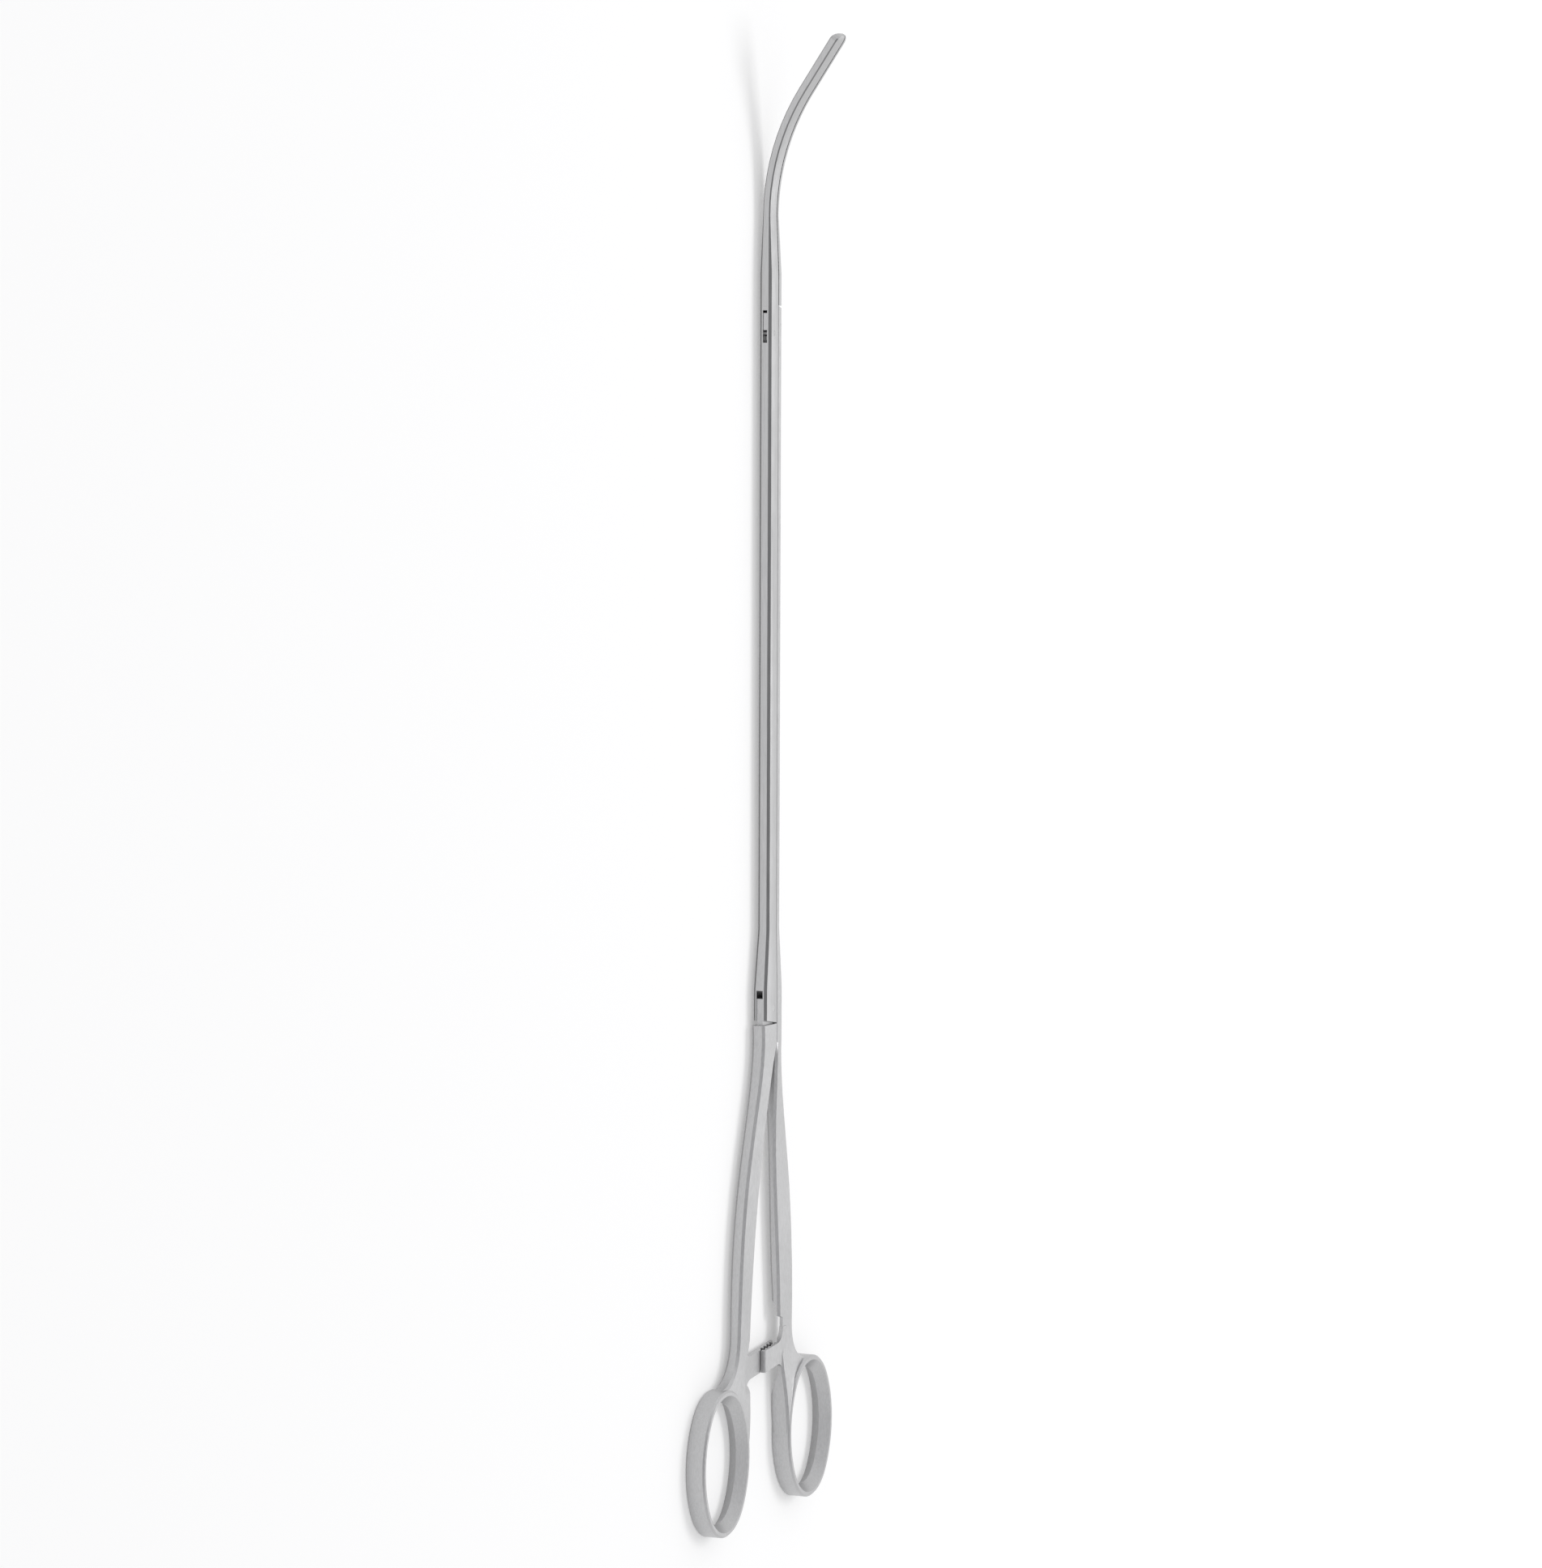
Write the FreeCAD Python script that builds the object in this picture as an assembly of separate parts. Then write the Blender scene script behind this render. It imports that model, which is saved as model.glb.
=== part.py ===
import FreeCAD, Part
import math
import os

# Thoracoscopic clamp with two sliding bars, all sizes in millimetres.
# +X runs from the finger rings to the jaw tip, +Z is up, the way the jaws curve, and the two bars
# meet on the plane Y = 0, so +Y is the side of the wide bar. While it is built, X = 0 is the end of
# the wide bar at the lever, and Z = 0 is the middle of the shaft.

Vec = FreeCAD.Vector

# Fits and running clearances
seam_clearance = 0.04
tongue_side_clearance = 0.05
pin_running_clearance = 0.05
pin_seat_clearance = 0.01
pin_flush_depth = 0.02
key_clearance = 0.06
tooth_clearance = 0.10

# Travel
opening_angle = 15.0

# The two bars of the shaft
joint_distance = 158.9
shaft_thickness = 2.7
wide_bar_width = 4.5
thin_bar_width = 2.05
bar_bevel = 0.55
seam_edge_break = 0.12

# Thicker stretch of the shaft at the lever joint
boss_thickness = 3.13
wide_boss_width = 6.3
thin_boss_width = 3.1
boss_length = 8.0
boss_taper_length = 13.0

# Jaws
jaw_root_length = 19.7
jaw_taper_start = 7.0
jaw_thickness = 1.7
wide_jaw_width = 4.0
thin_jaw_width = 1.2
jaw_bevel = 0.25
jaw_bend_radius = 48.8
jaw_bend_angle = 34.0
jaw_tip_length = 14.6
tip_dome_length = 1.6
tip_dome_turns = (0, 25, 45, 62, 78)
tip_flat_share = 0.3
bend_steps = 6
serration_pitch = 0.9
serration_width = 0.55
serration_depth = 0.2
serration_start = 6.0

# Pins, the same offset in both joints, so both turn by the same angle
pin_offset = 3.6
pin_stagger = 1.5
jaw_pin_radius = 0.6
lever_pin_radius = 0.75
jaw_hinge_setback = 4.5
lever_hinge_setback = 3.4
lever_hinge_inset = 1.9
fork_spare_depth = 0.15

# Slots, windows and tongues
jaw_slot_height = 1.0
jaw_window_near_end = 1.0
jaw_window_length = 7.1
jaw_slot_depth = 7.7
jaw_prong_margin = 0.6
lever_slot_height = 1.5
lever_slot_depth = 7.6
lever_window_start = 0.6
lever_window_length = 6.7
lever_prong_margin = 0.6
lever_tongue_length = 5.8
tongue_recess = 0.15
short_prong_width = 0.85
short_prong_reach = 0.25
prong_taper = 0.6
root_overlap = 0.5

# End gaps, wider at the outer edge, where a turning shoulder comes closer
lever_shoulder_gap = 0.25
lever_shoulder_rise = 0.15
lever_notch = 0.98
jaw_shoulder_gap = 0.06
jaw_notch = 0.6

# Keys that hold the bars together
key_positions = (42.0, 86.0, 130.0)
key_length = 5.0
key_stem_height = 1.0
key_stem_depth = 1.2
key_neck_length = 0.7
key_head_height = 1.6
key_head_thickness = 0.9
key_end_clearance = 0.3

# Finger rings
ring_x = -94.3
near_ring_y = 28.7
far_ring_y = -19.1
ring_length = 32.4
ring_width = 25.5
ring_wall = 2.8
ring_thickness = 4.5
ring_end_radius = 11.2
ring_crest_width = 1.1
ring_crest_bevel = 0.4

# Shanks: each side line is given by its distances from the seam at even steps, its ends left out
near_crotch_x = -5.9
far_crotch_x = -9.0
near_inner_line = (5.84, 7.61, 15.25, 12.82, 13.56)
far_inner_line = (-0.02, -0.8, -2.2, -3.3, -4.75)
near_outer_line = (5.87, 11.87, 17.62, 18.24, 19.38)
far_outer_line = (-1.6, -8.36, -12.01, -8.93, -11.71)
lever_root_thickness = 3.0
lever_root_width = 7.3
near_shank_thickness = 2.75
far_shank_thickness = 2.1
shank_thinning = 14.0
ring_root_thickness = 3.9
ring_root_depth = 6.5
ring_root_lead = 2.8
ring_root_rise = 0.1
rim_bevel = 0.55
rim_bow_share = 0.0004
thickening_x = -59.5
near_flare_x = -67.5
far_flare_x = -69.5
near_flare_y = 19.75
far_flare_y = -11.2
flare_lead = 5.0
near_flare_rise = 0.2
near_flare_turn = (0.6, 2.5)
far_flare_turn = (0.2, 2.4)
thin_boss_end = -4.0

# Ratchet arms, leaning towards the rings on the lever's side
ratchet_x = -75.3
ratchet_arm_width = 4.9
ratchet_arm_lean = 0.085
ratchet_pitch = 1.7
ratchet_slope_share = 0.92
tooth_run = 6.4
near_tooth_depth = 0.75
far_tooth_depth = 0.5
far_arm_tip_y = 5.0
far_arm_root_y = -5.4
far_arm_teeth = 6
near_arm_tip_y = -3.4
near_arm_root_y = 13.45
near_arm_extra_width = 0.25
near_arm_teeth = 6
arm_root_flare = 3.0
arm_root_depth = 2.0
arm_end_bevel = 0.3
first_tooth_inset = 0.1
relief_roof = 0.15
relief_front = 10.9
relief_back = 4.7
relief_back_slope = 2.4
cove_front = 10.6
cove_slope = 2.6
relief_length = 15.0
relief_width = 4.0
relief_reach = 8.0
relief_border = ((0, 0), (0.33, 0.5), (0.6, 1), (1, 1))
relief_ramp_foot = 4.0
relief_ramp_top = 2.0

# Places that follow from the sizes above
seam_face = seam_clearance / 2
jaw_joint_x = joint_distance
jaw_bend_x = jaw_joint_x + jaw_root_length
jaw_hinge = Vec(jaw_joint_x - jaw_hinge_setback, -thin_bar_width / 2, 0)
jaw_drive = jaw_hinge + Vec(-pin_stagger, pin_offset, 0)
lever_hinge = Vec(lever_hinge_setback, lever_hinge_inset, 0)
lever_drive = lever_hinge + Vec(pin_stagger, -pin_offset, 0)
opening = math.radians(opening_angle)
bend_length = jaw_bend_radius * math.radians(jaw_bend_angle)
bar_travel = pin_offset * math.tan(opening) - pin_stagger * (1 / math.cos(opening) - 1)
fork_slide = abs(pin_offset * (1 - 1 / math.cos(opening)) + pin_stagger * math.tan(opening))
ring_near_edge = near_ring_y - ring_width / 2
ring_far_edge = far_ring_y + ring_width / 2
ring_top_x = ring_x + ring_length / 2
big = 60.0
overrun = 1.0


def box(x, y, z):
    """Box from three (low, high) pairs."""
    return Part.makeBox(x[1] - x[0], y[1] - y[0], z[1] - z[0], Vec(x[0], y[0], z[0]))


def pair(a, b):
    return (min(a, b), max(a, b))


def prism(points, low, high):
    """Plan outline of straight sides, raised from one height to another."""
    corners = [Vec(x, y, low) for x, y in points]
    wire = Part.makePolygon(corners + corners[:1])
    return Part.Face(wire).extrude(Vec(0, 0, high - low))


def side_prism(points, low, high):
    """Outline in X and Z, carried from one Y to another."""
    corners = [Vec(x, low, z) for x, z in points]
    wire = Part.makePolygon(corners + corners[:1])
    return Part.Face(wire).extrude(Vec(0, high - low, 0))


def bezier(*points):
    curve = Part.BezierCurve()
    curve.setPoles([Vec(x, y, 0) for x, y in points])
    return curve.toShape()


def line(start, end):
    return Part.makeLine(Vec(start[0], start[1], 0), Vec(end[0], end[1], 0))


def pin_cylinder(centre, radius, thickness):
    return Part.makeCylinder(radius, thickness, Vec(centre.x, centre.y, -thickness / 2))


def frame_at(distance):
    """Point, direction and up vector of the jaws' centre line, at a distance past the bend's start."""
    angle = min(max(distance, 0) / bend_length, 1) * math.radians(jaw_bend_angle)
    ahead = Vec(math.cos(angle), 0, math.sin(angle))
    up = Vec(-math.sin(angle), 0, math.cos(angle))
    x = jaw_bend_x + jaw_bend_radius * math.sin(angle)
    z = jaw_bend_radius * (1 - math.cos(angle))
    straight = min(distance, 0) + max(distance - bend_length, 0)
    return Vec(x, 0, z) + ahead * straight, ahead, up


def section(base, up, side, width, thickness, bevel, edge_break):
    """Section of a bar: flat seam face, bevelled outer edges, small breaks on the seam edges."""
    half = thickness / 2
    low, high = seam_face, width
    corners = [(low + edge_break, -half), (high - bevel, -half), (high, bevel - half),
               (high, half - bevel), (high - bevel, half), (low + edge_break, half),
               (low, half - edge_break), (low, edge_break - half)]
    points = [base + Vec(0, side * y, 0) + up * z for y, z in corners]
    return Part.makePolygon(points + points[:1])


def straight_bar(stations, side):
    """Bar along X through stations of (x, width, thickness, bevel)."""
    up = Vec(0, 0, 1)
    wires = [section(Vec(x, 0, 0), up, side, w, t, b, seam_edge_break) for x, w, t, b in stations]
    return Part.makeLoft(wires, True, True)


def bent_jaw(side, width):
    """Jaw from the start of the bend to its rounded tip."""
    bend = []
    for i in range(bend_steps + 1):
        base, _, up = frame_at(bend_length * i / bend_steps)
        bend.append(section(base, up, side, width, jaw_thickness, jaw_bevel, seam_edge_break))
    tip = []
    dome_start = jaw_tip_length - tip_dome_length
    dome = [(math.sin(math.radians(turn)), math.cos(math.radians(turn))) for turn in tip_dome_turns]
    for reach, size in [(0, 1)] + [(dome_start + tip_dome_length * rise, size) for rise, size in dome]:
        base, _, up = frame_at(bend_length + reach)
        thickness = jaw_thickness * (tip_flat_share + (1 - tip_flat_share) * size)
        tip.append(section(base, up, side, width * size, thickness, jaw_bevel * size, seam_edge_break * size))
    return Part.makeLoft(bend, True, False).fuse(Part.makeLoft(tip, True, True))


def serrations(side):
    """Cross grooves in the seam face of a jaw, from near its root to its tip."""
    last = bend_length + jaw_tip_length - tip_dome_length
    first = serration_start - jaw_root_length
    grooves = []
    count = int((last - first) / serration_pitch)
    for i in range(count):
        base, ahead, up = frame_at(first + i * serration_pitch)
        low = base - up * shaft_thickness
        floor = Vec(0, side * (seam_face + serration_depth), 0)
        half = ahead * (serration_width / 2)
        corners = [low - half, low + half, low + floor]
        face = Part.Face(Part.makePolygon(corners + corners[:1]))
        grooves.append(face.extrude(up * (2 * shaft_thickness)))
    return Part.makeCompound(grooves)


def ring_arcs(y):
    """Centre, start angle, sweep and radius of the four arcs of a ring's oval."""
    half_length = ring_length / 2
    half_width = ring_width / 2
    end_offset = half_length - ring_end_radius
    bow = end_offset ** 2 + half_width ** 2 - ring_end_radius ** 2
    side_radius = bow / (2 * (half_width - ring_end_radius))
    side_offset = side_radius - half_width
    join = math.degrees(math.atan2(side_offset, end_offset))
    return [
        (Vec(ring_x + end_offset, y, 0), -join, 2 * join, ring_end_radius),
        (Vec(ring_x, y - side_offset, 0), join, 180 - 2 * join, side_radius),
        (Vec(ring_x - end_offset, y, 0), 180 - join, 2 * join, ring_end_radius),
        (Vec(ring_x, y + side_offset, 0), 180 + join, 180 - 2 * join, side_radius),
    ]


def turn_section(face, centre, start, sweep):
    """Section in X and Z, turned about a vertical axis through the arc's centre."""
    face.rotate(Vec(0, 0, 0), Vec(0, 0, 1), start)
    face.translate(centre)
    return face.revolve(centre, Vec(0, 0, 1), sweep)


def ring_section(radius):
    """Wall of a ring: thickest at mid height, narrowing to a bevelled crest above and below."""
    half = ring_thickness / 2
    crest = radius - ring_crest_bevel
    inner = radius - ring_crest_width
    side = half - ring_crest_bevel
    corners = [Vec(radius, 0, -side), Vec(radius, 0, side), Vec(crest, 0, half), Vec(inner, 0, half),
               Vec(radius - ring_wall, 0, 0), Vec(inner, 0, -half), Vec(crest, 0, -half)]
    return Part.Face(Part.makePolygon(corners + corners[:1]))


def hole_section(radius):
    """Half section of the space inside a ring's wall, a little taller than the ring."""
    flare = (ring_wall - ring_crest_width) / (ring_thickness / 2)
    reach = ring_thickness
    narrow = radius - ring_wall
    corners = [Vec(0, 0, -reach), Vec(narrow + flare * reach, 0, -reach), Vec(narrow, 0, 0),
               Vec(narrow + flare * reach, 0, reach), Vec(0, 0, reach)]
    return Part.Face(Part.makePolygon(corners + corners[:1]))


def finger_ring(y):
    pieces = [turn_section(ring_section(r), c, start, sweep) for c, start, sweep, r in ring_arcs(y)]
    return pieces[0].fuse(pieces[1:]).removeSplitter()


def ring_hole(y):
    """Finger hole, narrowest at mid height. Each long side's piece stops at the middle of the ring."""
    pieces = [turn_section(hole_section(r), c, start, sweep) for c, start, sweep, r in ring_arcs(y)]
    front, left, back, right = pieces
    left = left.common(box((-2 * big, 2 * big), (y, y + big), (-big, big)))
    right = right.common(box((-2 * big, 2 * big), (y - big, y), (-big, big)))
    return front.fuse([left, back, right]).removeSplitter()


def thickness_band(stations):
    """Side view of a shank: upper and lower curves through (x, thickness), carried across."""
    upper = Part.BSplineCurve()
    upper.interpolate([Vec(x, -big, t / 2) for x, t in stations])
    lower = Part.BSplineCurve()
    lower.interpolate([Vec(x, -big, -t / 2) for x, t in stations])
    first = stations[0]
    last = stations[-1]
    ends = [Part.makeLine(Vec(x, -big, -t / 2), Vec(x, -big, t / 2)) for x, t in (first, last)]
    wire = Part.Wire(Part.__sortEdges__([upper.toShape(), ends[1], lower.toShape(), ends[0]]))
    return Part.Face(wire).extrude(Vec(0, 2 * big, 0))


def even_curve(start, end, heights):
    """Smooth plan line from start to end, drawn by poles at even steps along X."""
    steps = len(heights) + 1
    poles = [start]
    for i, y in enumerate(heights):
        poles.append((start[0] + (end[0] - start[0]) * (i + 1) / steps, y))
    return bezier(*poles, end)


def shank(edges, stations):
    """Shank: plan outline cut to the side view, with bevelled upper and lower edges."""
    wire = Part.Wire(Part.__sortEdges__(edges))
    plan = Part.Face(wire)
    plan.translate(Vec(0, 0, -ring_thickness))
    body = plan.extrude(Vec(0, 0, 2 * ring_thickness)).common(thickness_band(stations))
    rims = [e for e in body.Edges if is_outline_rim(e)]
    return body.makeChamfer(rim_bevel, rims)


def is_outline_rim(edge):
    """True for the upper and lower edges along the curved sides of a shank."""
    middle = edge.valueAt((edge.FirstParameter + edge.LastParameter) / 2)
    ends = [v.Point for v in edge.Vertexes]
    curved = edge.Length > (1 + rim_bow_share) * ends[0].distanceToPoint(ends[-1])
    return curved and abs(middle.z) > far_shank_thickness / 4 and middle.x > ring_x + overrun


def shank_stations(root_x, root_thickness, thinning_start, thickness):
    """Thickness along a shank: full at the joint, thinner in the middle, full again at the ring."""
    return [(root_x, root_thickness), (thinning_start, root_thickness), (thinning_start - shank_thinning, thickness),
            (thickening_x, thickness), (ring_top_x + ring_root_lead, thickness + ring_root_rise),
            (ring_top_x - ring_root_depth, ring_root_thickness), (ring_x - overrun, ring_root_thickness)]


def near_shank():
    """Shank of the lever, from its shoulder to its ring."""
    root = -lever_shoulder_gap
    edge = root + lever_shoulder_rise
    edges = [
        line((root, seam_face), (edge, lever_root_width)),
        even_curve((edge, lever_root_width), (near_flare_x, near_flare_y), near_outer_line),
        bezier((near_flare_x, near_flare_y), (near_flare_x - flare_lead, near_flare_y + near_flare_rise),
               (ring_top_x + near_flare_turn[0], near_flare_y + near_flare_turn[1]),
               (ring_top_x, near_ring_y)),
        line((ring_top_x, near_ring_y), (ring_x, near_ring_y)),
        line((ring_x, near_ring_y), (ring_x, ring_near_edge)),
        even_curve((near_crotch_x, seam_face), (ring_x, ring_near_edge), near_inner_line),
        line((near_crotch_x, seam_face), (root, seam_face)),
    ]
    return shank(edges, shank_stations(edge, lever_root_thickness, near_crotch_x, near_shank_thickness))


def far_shank():
    """Shank of the thin bar, from its thicker stretch to its ring."""
    root = thin_boss_end
    edges = [
        line((root, -seam_face), (root, -thin_boss_width)),
        even_curve((root, -thin_boss_width), (far_flare_x, far_flare_y), far_outer_line),
        bezier((far_flare_x, far_flare_y), (far_flare_x - flare_lead, far_flare_y),
               (ring_top_x + far_flare_turn[0], far_flare_y - far_flare_turn[1]), (ring_top_x, far_ring_y)),
        line((ring_top_x, far_ring_y), (ring_x, far_ring_y)),
        line((ring_x, far_ring_y), (ring_x, ring_far_edge)),
        even_curve((far_crotch_x, -seam_face), (ring_x, ring_far_edge), far_inner_line),
        line((far_crotch_x, -seam_face), (root, -seam_face)),
    ]
    return shank(edges, shank_stations(root, boss_thickness, far_crotch_x, far_shank_thickness))


def arm_point(x, y, z):
    """Point on an arm's side, moved towards the rings as the arm leans."""
    return Vec(x - ratchet_arm_lean * y, y, z)


def arm_flare(side_x, root_y, way, out, z):
    """Quarter round between an arm's side and its shank: start, end and arc."""
    start = arm_point(side_x, root_y - way * arm_root_flare, z)
    end = arm_point(side_x + out * arm_root_flare, root_y, z)
    corner = arm_root_flare * (1 - math.sqrt(0.5))
    middle = arm_point(side_x + out * corner, root_y - way * corner, z)
    return start, end, Part.Arc(start, middle, end).toShape()


def ratchet_arm(tip_y, root_y, low_x, high_x, z):
    """Flat arm across the handles, with its root flared into the shank."""
    way = 1 if root_y > tip_y else -1
    inner = root_y + way * arm_root_depth
    low_start, low_end, low_arc = arm_flare(low_x, root_y, way, -1, z[0])
    high_start, high_end, high_arc = arm_flare(high_x, root_y, way, 1, z[0])
    route = [Vec(low_end.x, inner, z[0]), Vec(high_end.x, inner, z[0])]
    tips = [arm_point(low_x, tip_y, z[0]), arm_point(high_x, tip_y, z[0])]
    edges = [Part.makeLine(tips[0], low_start), low_arc, Part.makeLine(low_end, route[0]),
             Part.makeLine(route[0], route[1]), Part.makeLine(route[1], high_end), high_arc,
             Part.makeLine(high_start, tips[1]), Part.makeLine(tips[1], tips[0])]
    wire = Part.Wire(Part.__sortEdges__(edges))
    return Part.Face(wire).extrude(Vec(0, 0, z[1] - z[0]))


def tooth_gap(y, z, depth, way):
    """Saw-tooth gap across an arm: upright flank at y, sloping flank beyond it."""
    mouth = z - depth / 2
    slope_end = y + way * ratchet_slope_share * ratchet_pitch
    first = ratchet_x - tooth_run / 2
    corners = [Vec(first, y, mouth), Vec(first, y, z + depth), Vec(first, slope_end, z),
               Vec(first, slope_end, mouth)]
    face = Part.Face(Part.makePolygon(corners + corners[:1]))
    return face.extrude(Vec(tooth_run, 0, 0))


def far_ratchet_arm():
    """Upper arm, on the shank of the thin bar, toothed underneath."""
    half = ratchet_arm_width / 2
    low, high = tooth_clearance / 2, far_shank_thickness / 2
    arm = ratchet_arm(far_arm_tip_y, far_arm_root_y, ratchet_x - half, ratchet_x + half, (low, high))
    for i in range(far_arm_teeth):
        y = far_arm_tip_y - first_tooth_inset - ratchet_pitch / 2 - i * ratchet_pitch
        arm = arm.cut(tooth_gap(y, low, far_tooth_depth, -1))
    bevel = [(far_arm_tip_y - arm_end_bevel, high), (far_arm_tip_y, high - arm_end_bevel),
             (far_arm_tip_y, high)]
    corners = [Vec(-2 * big, y, z) for y, z in bevel]
    wedge = Part.Face(Part.makePolygon(corners + corners[:1])).extrude(Vec(2 * big, 0, 0))
    return arm.cut(wedge)


def near_ratchet_arm():
    """Lower arm, on the lever, toothed on top."""
    half = ratchet_arm_width / 2
    low, high = -near_shank_thickness / 2, -tooth_clearance / 2
    arm = ratchet_arm(near_arm_tip_y, near_arm_root_y, ratchet_x - half,
                      ratchet_x + half + near_arm_extra_width, (low, high))
    for i in range(near_arm_teeth):
        y = far_arm_tip_y - first_tooth_inset - (i + ratchet_slope_share) * ratchet_pitch
        arm = arm.cut(tooth_gap(y, high, -near_tooth_depth, 1))
    return arm


def far_shank_relief():
    """Pocket in the lower half of the far shank, so that the lower arm can pass under it."""
    front = ratchet_x + relief_front
    back = ratchet_x - relief_back
    drop = ring_thickness
    points = [(back - relief_back_slope * (drop + relief_roof), -drop), (back, relief_roof),
              (front, relief_roof), (front + drop + relief_roof, -drop)]
    return side_prism(points, ring_far_edge - ring_wall, ring_wall)


def far_shank_cove():
    """Hollow in the inner side of the far shank, beside the root of its arm."""
    front = ratchet_x + cove_front
    points = [(ratchet_x, far_arm_root_y), (front - cove_slope, far_arm_root_y), (front, ring_wall),
              (ratchet_x, ring_wall)]
    return prism(points, -ring_thickness, ring_thickness)


def near_shank_relief():
    """Upper half of the near shank cut away on its inner side, so that the upper arm can come in."""
    front = near_flare_x
    back = front - relief_length
    points = [(back, near_arm_root_y - relief_reach), (front, near_arm_root_y - relief_reach)]
    for along, across in relief_border:
        points.append((front - relief_length * along, near_arm_root_y + relief_width * across))
    plan = prism(points, 0, ring_thickness)
    corners = [(front + overrun, 0), (front + overrun, ring_thickness),
               (back - relief_ramp_top, ring_thickness), (back + relief_ramp_foot, 0)]
    return plan.common(side_prism(corners, -big, big))


def key_space(x, side_clearance, end_low, end_high):
    """T-shaped space of a key in the wide bar, with running clearance."""
    neck = key_stem_height / 2 + side_clearance
    head = key_head_height / 2 + side_clearance
    neck_end = seam_face + key_neck_length - side_clearance
    head_end = seam_face + key_neck_length + key_head_thickness + side_clearance
    run = (x - key_length / 2 - end_low, x + key_length / 2 + end_high)
    stem = box(run, (-seam_face, neck_end + side_clearance), (-neck, neck))
    return stem.fuse(box(run, (neck_end, head_end), (-head, head)))


def guide_key(x):
    """T-shaped key: its stem sits in the thin bar, its head runs in the wide bar."""
    run = (x - key_length / 2, x + key_length / 2)
    stem_half = key_stem_height / 2
    head_half = key_head_height / 2
    neck_end = seam_face + key_neck_length
    stem = box(run, (-key_stem_depth, neck_end), (-stem_half, stem_half))
    head = box(run, (neck_end, neck_end + key_head_thickness), (-head_half, head_half))
    return stem.fuse(head).removeSplitter()


def key_pocket(x):
    run = (x - key_length / 2 - pin_seat_clearance, x + key_length / 2 + pin_seat_clearance)
    half = key_stem_height / 2 + pin_seat_clearance
    return box(run, (-key_stem_depth - pin_seat_clearance, 0), (-half, half))


def key_entry(x):
    """Wide mouth beyond the key's run, through which its head goes in at assembly."""
    start = x + key_length / 2 + key_end_clearance
    head = key_head_height / 2 + key_clearance
    depth = seam_face + key_neck_length + key_head_thickness + key_clearance
    return box((start, start + key_length + key_end_clearance), (-seam_face, depth), (-head, head))


def wide_bar_end():
    """What is cut from the wide bar's end, so that the lever's shoulder can turn past it."""
    outer = wide_boss_width + overrun
    slope = lever_notch / wide_boss_width
    return prism([(-big, -seam_face), (0, -seam_face), (0, seam_face), (slope * outer, outer), (-big, outer)],
                 -big, big)


def thin_bar_end():
    """What is cut from the thin bar's end, so that the jaw's shoulder can turn past it."""
    outer = -thin_bar_width - overrun
    slope = jaw_notch / thin_bar_width
    return prism([(jaw_joint_x + big, 0), (jaw_joint_x, 0), (jaw_joint_x + slope * outer, outer),
                  (jaw_joint_x + big, outer)], -big, big)


def jaw_stations(start, width_at_bar, width_at_jaw):
    return [(start, width_at_bar, shaft_thickness, bar_bevel),
            (jaw_joint_x + jaw_taper_start, width_at_bar, shaft_thickness, bar_bevel),
            (jaw_bend_x, width_at_jaw, jaw_thickness, jaw_bevel)]


def make_jaw_bar():
    """Wide bar with the near jaw: clevis for the lever, window for the jaw's tongue, key slots."""
    boss = [(0, wide_boss_width, boss_thickness, bar_bevel),
            (boss_length, wide_boss_width, boss_thickness, bar_bevel)]
    stations = boss + jaw_stations(boss_length + boss_taper_length, wide_bar_width, wide_jaw_width)
    body = straight_bar(stations, 1).fuse(bent_jaw(1, wide_jaw_width))
    body = body.cut(wide_bar_end())
    half = lever_slot_height / 2
    body = body.cut(box((-overrun, lever_slot_depth), (-overrun, wide_boss_width + overrun), (-half, half)))
    half = jaw_slot_height / 2
    window_high = jaw_joint_x - jaw_window_near_end
    window = (window_high - jaw_window_length, window_high)
    body = body.cut(box(window, (-overrun, wide_bar_width + overrun), (-half, half)))
    body = body.cut(pin_cylinder(lever_hinge, lever_pin_radius + pin_seat_clearance, boss_thickness + overrun))
    body = body.cut(pin_cylinder(jaw_drive, jaw_pin_radius + pin_seat_clearance, shaft_thickness + overrun))
    for x in key_positions:
        body = body.cut(key_space(x, key_clearance, bar_travel + key_end_clearance, key_end_clearance))
        body = body.cut(key_entry(x))
    return body.cut(serrations(1)).removeSplitter()


def make_handle_bar():
    """Thin bar with the far shank, ring and upper ratchet arm: clevis for the jaw, window for the lever."""
    stations = [(thin_boss_end - root_overlap, thin_boss_width, boss_thickness, bar_bevel),
                (boss_length, thin_boss_width, boss_thickness, bar_bevel),
                (boss_length + boss_taper_length, thin_bar_width, shaft_thickness, bar_bevel),
                (jaw_joint_x, thin_bar_width, shaft_thickness, bar_bevel)]
    body = straight_bar(stations, -1).cut(thin_bar_end())
    shank_blank = far_shank().cut(far_shank_relief()).cut(far_shank_cove())
    body = body.fuse(shank_blank).fuse(far_ratchet_arm())
    body = body.fuse(finger_ring(far_ring_y).cut(far_shank_relief()))
    body = body.cut(ring_hole(far_ring_y))
    half = jaw_slot_height / 2
    outer = -thin_boss_width - overrun
    body = body.cut(box((jaw_joint_x - jaw_slot_depth, jaw_joint_x + overrun), (outer, overrun), (-half, half)))
    half = lever_slot_height / 2
    window = (lever_window_start, lever_window_start + lever_window_length)
    body = body.cut(box(window, (outer, overrun), (-half, half)))
    body = body.cut(pin_cylinder(jaw_hinge, jaw_pin_radius + pin_seat_clearance, shaft_thickness + overrun))
    body = body.cut(pin_cylinder(lever_drive, lever_pin_radius + pin_seat_clearance, boss_thickness + overrun))
    for x in key_positions:
        body = body.cut(key_pocket(x))
    return body.removeSplitter()


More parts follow.
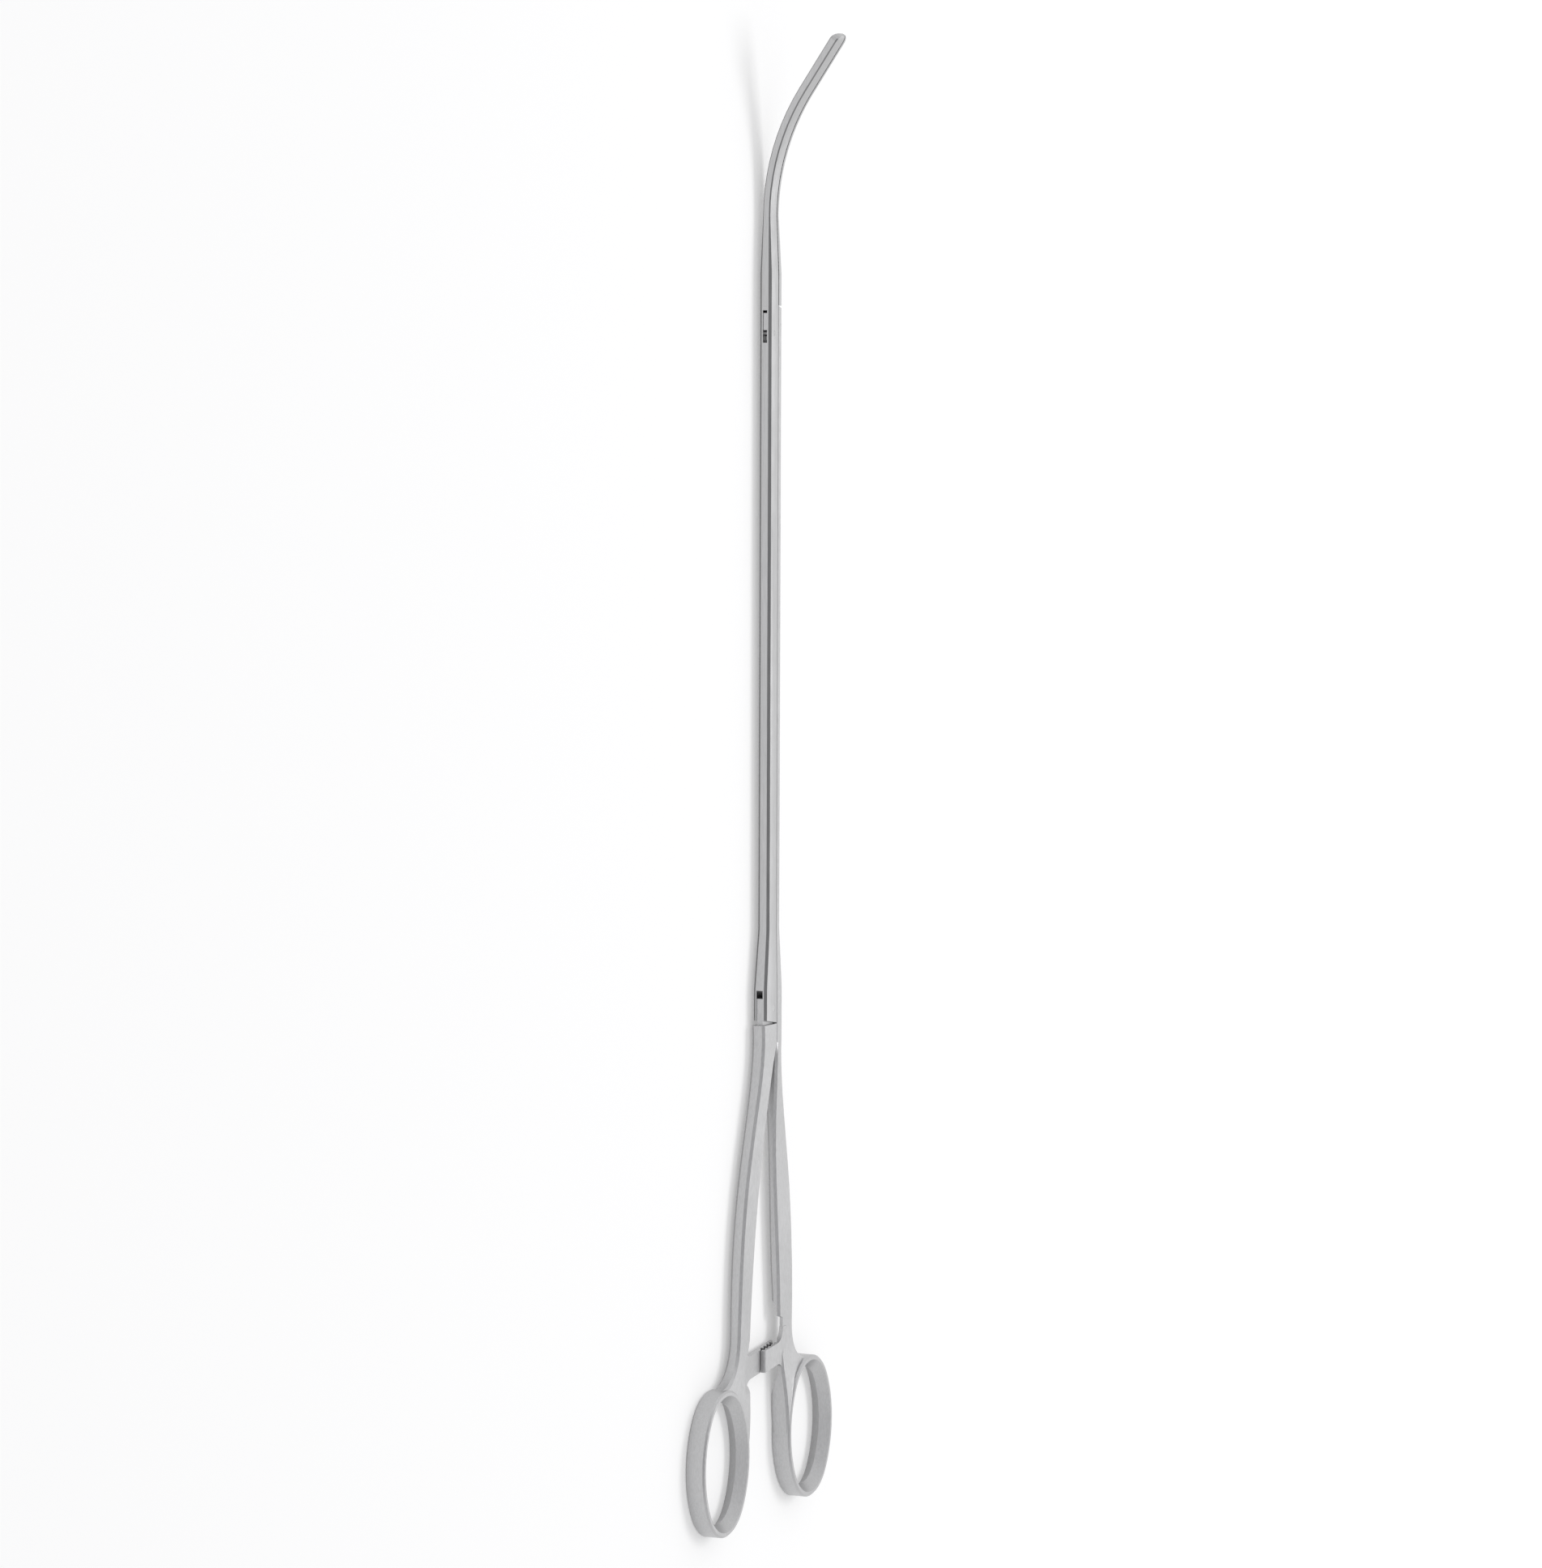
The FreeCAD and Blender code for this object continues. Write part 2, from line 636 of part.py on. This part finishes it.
def fork_slot(centre, radius, way):
    """Open-ended slot for a drive pin, with room for the pin's slide."""
    width = radius + pin_running_clearance
    bottom = centre.y - way * (fork_slide + fork_spare_depth)
    slot = box((centre.x - width, centre.x + width), pair(bottom, bottom + way * big), (-big, big))
    return slot.fuse(Part.makeCylinder(width, 2 * big, Vec(centre.x, bottom, -big)))


def make_hinged_jaw():
    """Far jaw with its tongue, forked for the drive pin in the wide bar."""
    start = jaw_joint_x + jaw_shoulder_gap
    body = straight_bar(jaw_stations(start, thin_bar_width, thin_jaw_width), -1)
    body = body.fuse(bent_jaw(-1, thin_jaw_width)).cut(serrations(-1))
    half = jaw_slot_height / 2 - tongue_side_clearance
    outer = -thin_bar_width + tongue_recess
    fork_low = jaw_drive.x - jaw_pin_radius - pin_running_clearance
    long_high = jaw_joint_x - jaw_window_near_end - jaw_prong_margin
    root = start + root_overlap
    points = [(root, outer), (root, -seam_face - tongue_recess),
              (long_high, -seam_face - tongue_recess), (long_high, wide_bar_width - tongue_recess),
              (jaw_drive.x, wide_bar_width - tongue_recess), (jaw_drive.x, jaw_drive.y + short_prong_reach),
              (fork_low - short_prong_width, jaw_drive.y + short_prong_reach),
              (fork_low - short_prong_width * prong_taper, seam_face), (fork_low, outer)]
    tongue = prism(points, -half, half).cut(fork_slot(jaw_drive, jaw_pin_radius, 1))
    body = body.fuse(tongue)
    hole = pin_cylinder(jaw_hinge, jaw_pin_radius + pin_running_clearance, shaft_thickness + overrun)
    return body.cut(hole).removeSplitter()


def make_lever_handle():
    """Near shank, ring and lower ratchet arm, with a forked tongue for the thin bar's drive pin."""
    body = near_shank().cut(near_shank_relief())
    body = body.fuse(near_ratchet_arm()).fuse(finger_ring(near_ring_y).cut(near_shank_relief()))
    body = body.cut(ring_hole(near_ring_y))
    half = lever_slot_height / 2 - tongue_side_clearance
    outer = wide_boss_width - tongue_recess
    fork_high = lever_drive.x + lever_pin_radius + pin_running_clearance
    long_low = lever_window_start + lever_prong_margin
    floor = -thin_boss_width + tongue_recess
    root = -lever_shoulder_gap - root_overlap
    points = [(root, outer), (root, seam_face + tongue_recess),
              (long_low, seam_face + tongue_recess), (long_low, floor), (lever_drive.x, floor),
              (lever_drive.x, lever_drive.y - short_prong_reach),
              (fork_high + short_prong_width, lever_drive.y - short_prong_reach),
              (fork_high + short_prong_width * prong_taper, lever_hinge.y),
              (lever_tongue_length, lever_hinge.y + 2 * lever_pin_radius),
              (lever_tongue_length, outer)]
    tongue = prism(points, -half, half).cut(fork_slot(lever_drive, lever_pin_radius, -1))
    hole = pin_cylinder(lever_hinge, lever_pin_radius + pin_running_clearance, boss_thickness + overrun)
    return body.fuse(tongue).cut(hole).removeSplitter()


def make_pins():
    shaft_pin = shaft_thickness - 2 * pin_flush_depth
    boss_pin = boss_thickness - 2 * pin_flush_depth
    return {
        "lever_hinge_pin": pin_cylinder(lever_hinge, lever_pin_radius, boss_pin),
        "lever_drive_pin": pin_cylinder(lever_drive, lever_pin_radius, boss_pin),
        "jaw_hinge_pin": pin_cylinder(jaw_hinge, jaw_pin_radius, shaft_pin),
        "jaw_drive_pin": pin_cylinder(jaw_drive, jaw_pin_radius, shaft_pin),
    }


def make_keys():
    names = ("guide_key_rear", "guide_key_middle", "guide_key_front")
    return {name: guide_key(x) for name, x in zip(names, key_positions)}


def origin_shift(nodes):
    """From the working origin to the middle of the clamp's footprint, on the rings' undersides."""
    around = Part.makeCompound(list(nodes.values())).optimalBoundingBox(False)
    return Vec(-around.Center.x, -around.Center.y, -around.ZMin)


def make_nodes():
    nodes = {
        "handle_bar": make_handle_bar(),
        "jaw_bar": make_jaw_bar(),
        "lever_handle": make_lever_handle(),
        "hinged_jaw": make_hinged_jaw(),
    }
    nodes.update(make_pins())
    nodes.update(make_keys())
    return nodes


def main():
    os.makedirs("parts", exist_ok=True)
    nodes = make_nodes()
    shift = origin_shift(nodes)
    for name, shape in nodes.items():
        shape.translate(shift)
        shape.exportStep("parts/" + name + ".step")
        print(name, len(shape.Solids), round(shape.Volume, 3), shape.isValid(), len(shape.Faces))


main()
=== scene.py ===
import bpy
import math
from mathutils import Matrix, Vector


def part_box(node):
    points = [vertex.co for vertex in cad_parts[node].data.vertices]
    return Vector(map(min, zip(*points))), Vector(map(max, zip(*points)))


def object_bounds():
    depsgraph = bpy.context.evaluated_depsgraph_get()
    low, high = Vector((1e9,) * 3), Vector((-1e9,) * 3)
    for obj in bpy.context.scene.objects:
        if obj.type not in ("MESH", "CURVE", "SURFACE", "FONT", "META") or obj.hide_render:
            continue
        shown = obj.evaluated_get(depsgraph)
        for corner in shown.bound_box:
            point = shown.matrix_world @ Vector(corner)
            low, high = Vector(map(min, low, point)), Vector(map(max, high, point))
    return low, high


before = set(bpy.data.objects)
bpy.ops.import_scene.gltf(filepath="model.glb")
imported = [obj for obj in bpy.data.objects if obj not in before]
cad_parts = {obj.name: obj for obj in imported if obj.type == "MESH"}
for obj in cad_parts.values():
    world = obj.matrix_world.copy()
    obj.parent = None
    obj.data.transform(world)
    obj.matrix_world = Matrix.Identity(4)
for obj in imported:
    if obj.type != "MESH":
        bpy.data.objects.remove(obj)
cad_low, cad_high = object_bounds()

# Places on the clamp: the lever joint, the seam between the two bars, and the top of the shaft
wide_bar_low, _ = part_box("jaw_bar")
lever_low, lever_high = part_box("lever_handle")
lever_joint_x = wide_bar_low.x
seam_y = wide_bar_low.y
shaft_half_height = 0.00135
shaft_top_z = (lever_low.z + lever_high.z) / 2 + shaft_half_height

# Camera at the photograph's viewing angle, in metres, degrees and the photograph's pixels
photo_width = 1904
sensor_mm = 36.0
view_angle = 16.5
camera_distance = 1.2
camera_elevation = 23.0
camera_roll = 0.2
tip_lean = 4.4
aim_along_shaft = 0.0532
seam_photo_x = 959.4
metres_per_pixel = 0.00018
nearest_seen = 0.01
farthest_seen = 20

# Steel: its colours, and the share of them in the dark and light lines of the grain
steel_colour = (0.52, 0.52, 0.525)
pin_colour = (0.57, 0.57, 0.575)
grain_dark_share = 0.9
grain_light_share = 1.06

# Grain and polish: what the noise is made of, and how far the roughness strays from its middle
grain_detail = 4.0
grain_breakup = 0.6
grain_relief = 0.35
cloud_scale = 140.0
cloud_detail = 3.0
cloud_share = 0.5
noise_span = (0.3, 0.7)
polish_below = 0.06
polish_above = 0.08

# Painted shade: the colour of the bars and jaws is darkened at the seam where they meet, and on their
# bevels, whose normals have about this part along Y
painted_seam_shade = 0.3
seam_reach = 0.0004
painted_bevel_shade = 0.5
bevel_slope = 0.7
bevel_slope_reach = 0.25

# Paper floor, just under the clamp
floor_size = 6.0
floor_drop = 0.00002
floor_whiteness = 0.72
floor_glow = 0.27

# Studio: the light from its walls and ceiling, by height from 0 below to 1 above, and one softbox
wall_light = ((0.40, (0.95, 0.95, 0.95)), (0.80, (0.82, 0.82, 0.83)))
ceiling_light = ((0.90, (0.50, 0.50, 0.51)), (1.0, (0.40, 0.40, 0.41)))
softbox_place = Vector((0.2, -0.9, 1.5))
softbox_size = (1.0, 0.8)
softbox_power = 10

node_spacing = 200


def empty_tree(owner):
    """Give a material or the world an empty node tree."""
    owner.use_nodes = True
    owner.node_tree.nodes.clear()
    return owner.node_tree.nodes, owner.node_tree.links


def add_node(nodes, kind, **settings):
    node = nodes.new(kind)
    node.location = (len(nodes) * node_spacing, 0)
    for key, value in settings.items():
        setattr(node, key, value)
    return node


def set_input(node, name, value):
    node.inputs[name].default_value = value


def map_range(nodes, links, value, span, result, **settings):
    """Map a value from one span of numbers to another."""
    mapped = add_node(nodes, "ShaderNodeMapRange", **settings)
    for name, number in zip(("From Min", "From Max", "To Min", "To Max"), (*span, *result)):
        set_input(mapped, name, number)
    links.new(value, mapped.inputs["Value"])
    return mapped.outputs["Result"]


def paint_shade_near(nodes, links, colour, measure, centre, reach, shade):
    """Paint shade into a colour: darken it where a measured value is within a reach of a centre value."""
    offset = add_node(nodes, "ShaderNodeMath", operation="SUBTRACT")
    offset.inputs[1].default_value = centre
    links.new(measure, offset.inputs[0])
    distance = add_node(nodes, "ShaderNodeMath", operation="ABSOLUTE")
    links.new(offset.outputs[0], distance.inputs[0])
    fade = map_range(
        nodes, links, distance.outputs[0], (0.0, reach), (shade, 1.0), interpolation_type="SMOOTHSTEP")
    shaded = add_node(nodes, "ShaderNodeVectorMath", operation="SCALE")
    links.new(colour, shaded.inputs[0])
    links.new(fade, shaded.inputs["Scale"])
    return shaded.outputs["Vector"]


def paint_shade_at_seam_and_bevels(nodes, links, place, colour):
    """Paint shade into a colour: darken it at the seam's plane, and where the surface slopes halfway from
    side to top.
    """
    spot = add_node(nodes, "ShaderNodeSeparateXYZ")
    links.new(place.outputs["Object"], spot.inputs["Vector"])
    facing = add_node(nodes, "ShaderNodeSeparateXYZ")
    links.new(place.outputs["Normal"], facing.inputs["Vector"])
    slope = add_node(nodes, "ShaderNodeMath", operation="ABSOLUTE")
    links.new(facing.outputs["Y"], slope.inputs[0])
    # Painted shade in the gap at the seam between the bars and jaws
    colour = paint_shade_near(nodes, links, colour, spot.outputs["Y"], seam_y, seam_reach, painted_seam_shade)
    # Painted shade on the bevels, set by which way the surface faces
    return paint_shade_near(nodes, links, colour, slope.outputs[0], bevel_slope, bevel_slope_reach, painted_bevel_shade)


def satin_steel(name, colour, roughness, grain_along, grain_across, grain_depth, brushed, paint_seam_and_bevel_shade=False):
    """Satin steel: grain drawn out along the clamp, cloudy polish, and, where asked, painted shade at the
    seam and on the bevels.

    grain_along and grain_across are the grain's cells per metre, and grain_depth is its relief in metres.
    """
    material = bpy.data.materials.new(name)
    nodes, links = empty_tree(material)
    output = add_node(nodes, "ShaderNodeOutputMaterial")
    shader = add_node(nodes, "ShaderNodeBsdfPrincipled")
    set_input(shader, "Metallic", 1.0)
    set_input(shader, "Anisotropic", brushed)
    place = add_node(nodes, "ShaderNodeTexCoord")

    stretch = add_node(nodes, "ShaderNodeMapping")
    set_input(stretch, "Scale", (grain_along, grain_across, grain_across))
    grain = add_node(nodes, "ShaderNodeTexNoise")
    set_input(grain, "Scale", 1.0)
    set_input(grain, "Detail", grain_detail)
    set_input(grain, "Roughness", grain_breakup)
    links.new(place.outputs["Object"], stretch.inputs["Vector"])
    links.new(stretch.outputs["Vector"], grain.inputs["Vector"])

    clouds = add_node(nodes, "ShaderNodeTexNoise")
    set_input(clouds, "Scale", cloud_scale)
    set_input(clouds, "Detail", cloud_detail)
    links.new(place.outputs["Object"], clouds.inputs["Vector"])

    tone = add_node(nodes, "ShaderNodeValToRGB")
    shares = (grain_dark_share, grain_light_share)
    for stop, position, share in zip(tone.color_ramp.elements, noise_span, shares):
        stop.position = position
        stop.color = (*(min(part * share, 1) for part in colour), 1)
    links.new(grain.outputs["Fac"], tone.inputs["Fac"])
    shaded = tone.outputs["Color"]
    # Painted shade at the seam and on the bevels
    if paint_seam_and_bevel_shade:
        shaded = paint_shade_at_seam_and_bevels(nodes, links, place, shaded)
    links.new(shaded, shader.inputs["Base Color"])

    # Inputs 2 and 3 of the mix are its two plain numbers
    mixed = add_node(nodes, "ShaderNodeMix", data_type="FLOAT")
    set_input(mixed, "Factor", cloud_share)
    links.new(grain.outputs["Fac"], mixed.inputs[2])
    links.new(clouds.outputs["Fac"], mixed.inputs[3])
    roughness_span = (roughness - polish_below, roughness + polish_above)
    polish = map_range(nodes, links, mixed.outputs[0], noise_span, roughness_span)
    links.new(polish, shader.inputs["Roughness"])

    bump = add_node(nodes, "ShaderNodeBump")
    set_input(bump, "Strength", grain_relief)
    set_input(bump, "Distance", grain_depth)
    links.new(grain.outputs["Fac"], bump.inputs["Height"])
    links.new(bump.outputs["Normal"], shader.inputs["Normal"])
    links.new(shader.outputs["BSDF"], output.inputs["Surface"])
    return material


def paper_floor(name):
    """White paper: its shade shows the clamp's shadow, and it looks white to the eye and in the steel."""
    material = bpy.data.materials.new(name)
    nodes, links = empty_tree(material)
    output = add_node(nodes, "ShaderNodeOutputMaterial")
    paper = add_node(nodes, "ShaderNodeBsdfDiffuse")
    set_input(paper, "Color", (floor_whiteness, floor_whiteness, floor_whiteness, 1))
    glow = add_node(nodes, "ShaderNodeEmission")
    set_input(glow, "Color", (1, 1, 1, 1))

    ray = add_node(nodes, "ShaderNodeLightPath")
    seen = ray.outputs["Is Camera Ray"]
    for kind in ("Is Glossy Ray", "Is Transmission Ray"):
        either = add_node(nodes, "ShaderNodeMath", operation="ADD", use_clamp=True)
        links.new(seen, either.inputs[0])
        links.new(ray.outputs[kind], either.inputs[1])
        seen = either.outputs[0]
    strength = add_node(nodes, "ShaderNodeMath", operation="MULTIPLY")
    strength.inputs[1].default_value = floor_glow
    links.new(seen, strength.inputs[0])
    links.new(strength.outputs[0], glow.inputs["Strength"])

    both = add_node(nodes, "ShaderNodeAddShader")
    links.new(paper.outputs["BSDF"], both.inputs[0])
    links.new(glow.outputs["Emission"], both.inputs[1])
    links.new(both.outputs["Shader"], output.inputs["Surface"])
    return material


def dress_clamp():
    """Steel finishes for the bars, handles and jaws, and ground steel for the pins and keys."""
    # The bars and jaws get painted shade at the seam and on their bevels
    bar = satin_steel(
        "satin_bar_steel", steel_colour, roughness=0.34, grain_along=260, grain_across=5200,
        grain_depth=0.000015, brushed=0.35, paint_seam_and_bevel_shade=True)
    handle = satin_steel(
        "satin_handle_steel", steel_colour, roughness=0.36, grain_along=900, grain_across=3200,
        grain_depth=0.000018, brushed=0.15)
    jaw = satin_steel(
        "satin_jaw_steel", steel_colour, roughness=0.34, grain_along=320, grain_across=5200,
        grain_depth=0.000015, brushed=0.3, paint_seam_and_bevel_shade=True)
    pin = satin_steel(
        "ground_pin_steel", pin_colour, roughness=0.28, grain_along=4000, grain_across=4000,
        grain_depth=0.00001, brushed=0.0)
    finishes = {"handle_bar": handle, "jaw_bar": bar, "lever_handle": handle, "hinged_jaw": jaw}
    for name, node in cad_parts.items():
        node.data.materials.clear()
        node.data.materials.append(finishes.get(name, pin))


def make_floor():
    bpy.ops.object.select_all(action="DESELECT")
    bpy.ops.mesh.primitive_plane_add(size=floor_size, location=(0, 0, cad_low.z - floor_drop))
    floor = bpy.context.object
    floor.name = "floor"
    floor.data.materials.append(paper_floor("white_paper"))


def make_camera():
    """Look at the shaft from the near side and from above, with the jaws at the top of the picture."""
    data = bpy.data.cameras.new("camera")
    data.sensor_width = sensor_mm
    data.lens = sensor_mm / 2 / math.tan(math.radians(view_angle) / 2)
    data.clip_start = nearest_seen
    data.clip_end = farthest_seen
    camera = bpy.data.objects.new("camera", data)
    bpy.context.scene.collection.objects.link(camera)
    bpy.context.scene.camera = camera

    lean = math.radians(tip_lean)
    rise = math.radians(camera_elevation)
    back = Vector((math.sin(lean), math.cos(lean) * math.cos(rise), math.cos(lean) * math.sin(rise)))
    right = (-back).cross(Vector((1, 0, 0))).normalized()
    up = right.cross(-back).normalized()
    target = Vector((lever_joint_x + aim_along_shaft, seam_y, shaft_top_z))
    target -= right * ((seam_photo_x - photo_width / 2) * metres_per_pixel)
    turn = Matrix((right, up, back)).transposed() @ Matrix.Rotation(math.radians(camera_roll), 3, "Z")
    camera.matrix_world = Matrix.Translation(target + back * camera_distance) @ turn.to_4x4()


def make_softbox():
    """A large soft lamp behind the clamp, aimed at the frame's origin."""
    data = bpy.data.lights.new("back_softbox", "AREA")
    data.shape = "RECTANGLE"
    data.size, data.size_y = softbox_size
    data.energy = softbox_power
    softbox = bpy.data.objects.new("back_softbox", data)
    bpy.context.scene.collection.objects.link(softbox)
    softbox.location = softbox_place
    softbox.rotation_euler = (-softbox_place).to_track_quat("-Z", "Y").to_euler()


def make_world():
    """White studio walls with a dimmer ceiling."""
    world = bpy.data.worlds.new("studio")
    bpy.context.scene.world = world
    nodes, links = empty_tree(world)
    output = add_node(nodes, "ShaderNodeOutputWorld")
    background = add_node(nodes, "ShaderNodeBackground")
    place = add_node(nodes, "ShaderNodeTexCoord")
    split = add_node(nodes, "ShaderNodeSeparateXYZ")
    ramp = add_node(nodes, "ShaderNodeValToRGB")
    stops = ramp.color_ramp.elements
    for stop, (height, colour) in zip(stops, wall_light):
        stop.position = height
        stop.color = (*colour, 1)
    for height, colour in ceiling_light:
        stops.new(height).color = (*colour, 1)
    links.new(place.outputs["Generated"], split.inputs["Vector"])
    links.new(split.outputs["Z"], ramp.inputs["Fac"])
    links.new(ramp.outputs["Color"], background.inputs["Color"])
    links.new(background.outputs["Background"], output.inputs["Surface"])


dress_clamp()
make_floor()
make_camera()
make_world()
make_softbox()
bpy.context.scene.view_settings.view_transform = "Standard"
